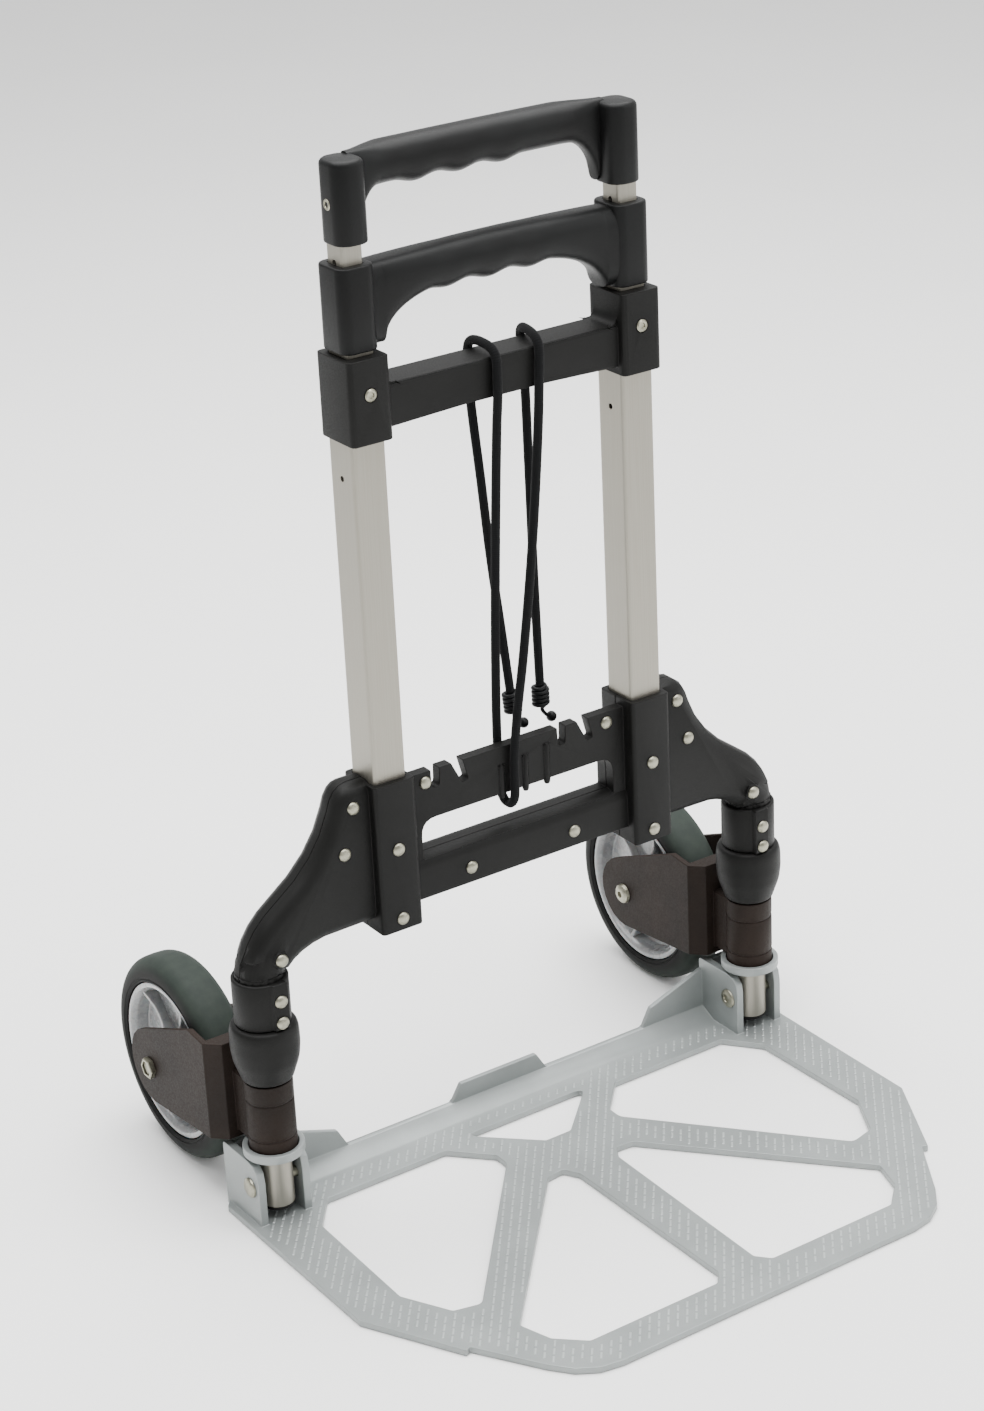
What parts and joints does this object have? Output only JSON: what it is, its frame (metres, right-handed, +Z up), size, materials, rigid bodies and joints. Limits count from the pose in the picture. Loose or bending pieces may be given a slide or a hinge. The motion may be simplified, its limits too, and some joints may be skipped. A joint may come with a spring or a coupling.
{
  "type": "folding hand truck",
  "caption": "Folding luggage hand truck with a hinged toe plate, wheels on swinging forks, a telescopic twin-tube handle and an elastic cord.",
  "frame": {"origin": "middle of the footprint, on the ground under the truck", "axes": "+Z up along the handle tubes, +Y from the toe plate towards the wheels, +X to the right as seen from the toe-plate side"},
  "size_m": [0.4946, 0.4902, 0.7489],
  "materials": {
    "anodised_aluminium": "satin anodised, lengthwise extrusion lines",
    "grey_cast_aluminium": "grey powder coat over pressed aluminium, fine raised hatch on the flats",
    "plated_steel": "nickel plated, slightly dulled",
    "tyre_rubber": "smooth greenish grey tread, matt",
    "grey_hub_plastic": "semi-gloss, slightly cloudy grey",
    "fork_plastic": "brownish black, fine grain",
    "black_plastic": "black, fine moulded grain",
    "elastic_cord": "braided black sheath over an elastic core",
    "coated_wire": "black plastic coated wire"
  },
  "bodies": {
    "chassis": {"outer_tube_left": "anodised_aluminium", "leg_tube_left": "anodised_aluminium", "leg_clamp_left": "black_plastic", "leg_collar_left": "black_plastic", "leg_cup_left": "grey_cast_aluminium", "leg_foot_cap_left": "black_plastic", "tube_rivet_lower_left": "plated_steel", "tube_rivet_upper_left": "plated_steel", "elbow_rivet_left": "plated_steel", "clamp_rivet_lower_left": "plated_steel", "clamp_rivet_upper_left": "plated_steel", "collar_screw_left": "plated_steel", "outer_tube_right": "anodised_aluminium", "leg_tube_right": "anodised_aluminium", "leg_clamp_right": "black_plastic", "leg_collar_right": "black_plastic", "leg_cup_right": "grey_cast_aluminium", "leg_foot_cap_right": "black_plastic", "tube_rivet_lower_right": "plated_steel", "tube_rivet_upper_right": "plated_steel", "elbow_rivet_right": "plated_steel", "clamp_rivet_lower_right": "plated_steel", "clamp_rivet_upper_right": "plated_steel", "collar_screw_right": "plated_steel", "upper_crossbar": "black_plastic", "lower_bracket_front": "black_plastic", "lower_bracket_rear": "black_plastic", "luggage_cord_first": "elastic_cord", "luggage_cord_second": "elastic_cord", "cord_hook_first": "coated_wire", "cord_hook_second": "coated_wire"},
    "toe_board": {"toe_plate": "grey_cast_aluminium", "hinge_pin_left": "plated_steel", "hinge_pin_right": "plated_steel"},
    "fork_swing_left": {"fork_left": "fork_plastic", "axle_bolt_left": "plated_steel", "axle_nut_left": "plated_steel", "axle_sleeve_left": "plated_steel"},
    "wheel_left": {"wheel_hub_left": "grey_hub_plastic", "tyre_left": "tyre_rubber"},
    "fork_swing_right": {"fork_right": "fork_plastic", "axle_bolt_right": "plated_steel", "axle_nut_right": "plated_steel", "axle_sleeve_right": "plated_steel"},
    "wheel_right": {"wheel_hub_right": "grey_hub_plastic", "tyre_right": "tyre_rubber"},
    "mid_stage": {"mid_handle": "black_plastic", "mid_tube_left": "anodised_aluminium", "mid_tube_right": "anodised_aluminium", "mid_tube_plug_left": "black_plastic", "mid_tube_plug_right": "black_plastic", "mid_handle_screw_left": "plated_steel", "mid_handle_screw_right": "plated_steel"},
    "top_stage": {"top_handle": "black_plastic", "inner_tube_left": "anodised_aluminium", "inner_tube_right": "anodised_aluminium", "inner_tube_plug_left": "black_plastic", "inner_tube_plug_right": "black_plastic", "top_handle_screw_left": "plated_steel", "top_handle_screw_right": "plated_steel"}
  },
  "joints": [
    {"name": "toe_plate_fold", "type": "hinge", "parent": "chassis", "child": "toe_board", "pos_m": [0, 0.04685, 0.0325], "axis": [-1, 0, 0], "range_deg": [0, 90]},
    {"name": "wheel_swivel_right", "type": "hinge", "parent": "chassis", "child": "fork_swing_right", "pos_m": [0.213, 0.04685, 0.0875], "axis": [0, 0, 1], "range_deg": [0, 80]},
    {"name": "wheel_swivel_left", "type": "hinge", "parent": "chassis", "child": "fork_swing_left", "pos_m": [-0.213, 0.04685, 0.0875], "axis": [0, 0, -1], "range_deg": [0, 80]},
    {"name": "wheel_spin_left", "type": "hinge", "parent": "fork_swing_left", "child": "wheel_left", "pos_m": [-0.213, 0.16765, 0.0775], "axis": [1, 0, 0], "continuous": true},
    {"name": "wheel_spin_right", "type": "hinge", "parent": "fork_swing_right", "child": "wheel_right", "pos_m": [0.213, 0.16765, 0.0775], "axis": [1, 0, 0], "continuous": true},
    {"name": "mid_handle_slide", "type": "slide", "parent": "chassis", "child": "mid_stage", "axis": [0, 0, 1], "range_m": [0, 0.17]},
    {"name": "top_handle_slide", "type": "slide", "parent": "mid_stage", "child": "top_stage", "axis": [0, 0, 1], "range_m": [0, 0.17]}
  ],
  "couplings": [
    {"joint": "wheel_swivel_right", "follows": "toe_plate_fold", "ratio": 0.8888},
    {"joint": "wheel_swivel_left", "follows": "toe_plate_fold", "ratio": 0.8888}
  ]
}
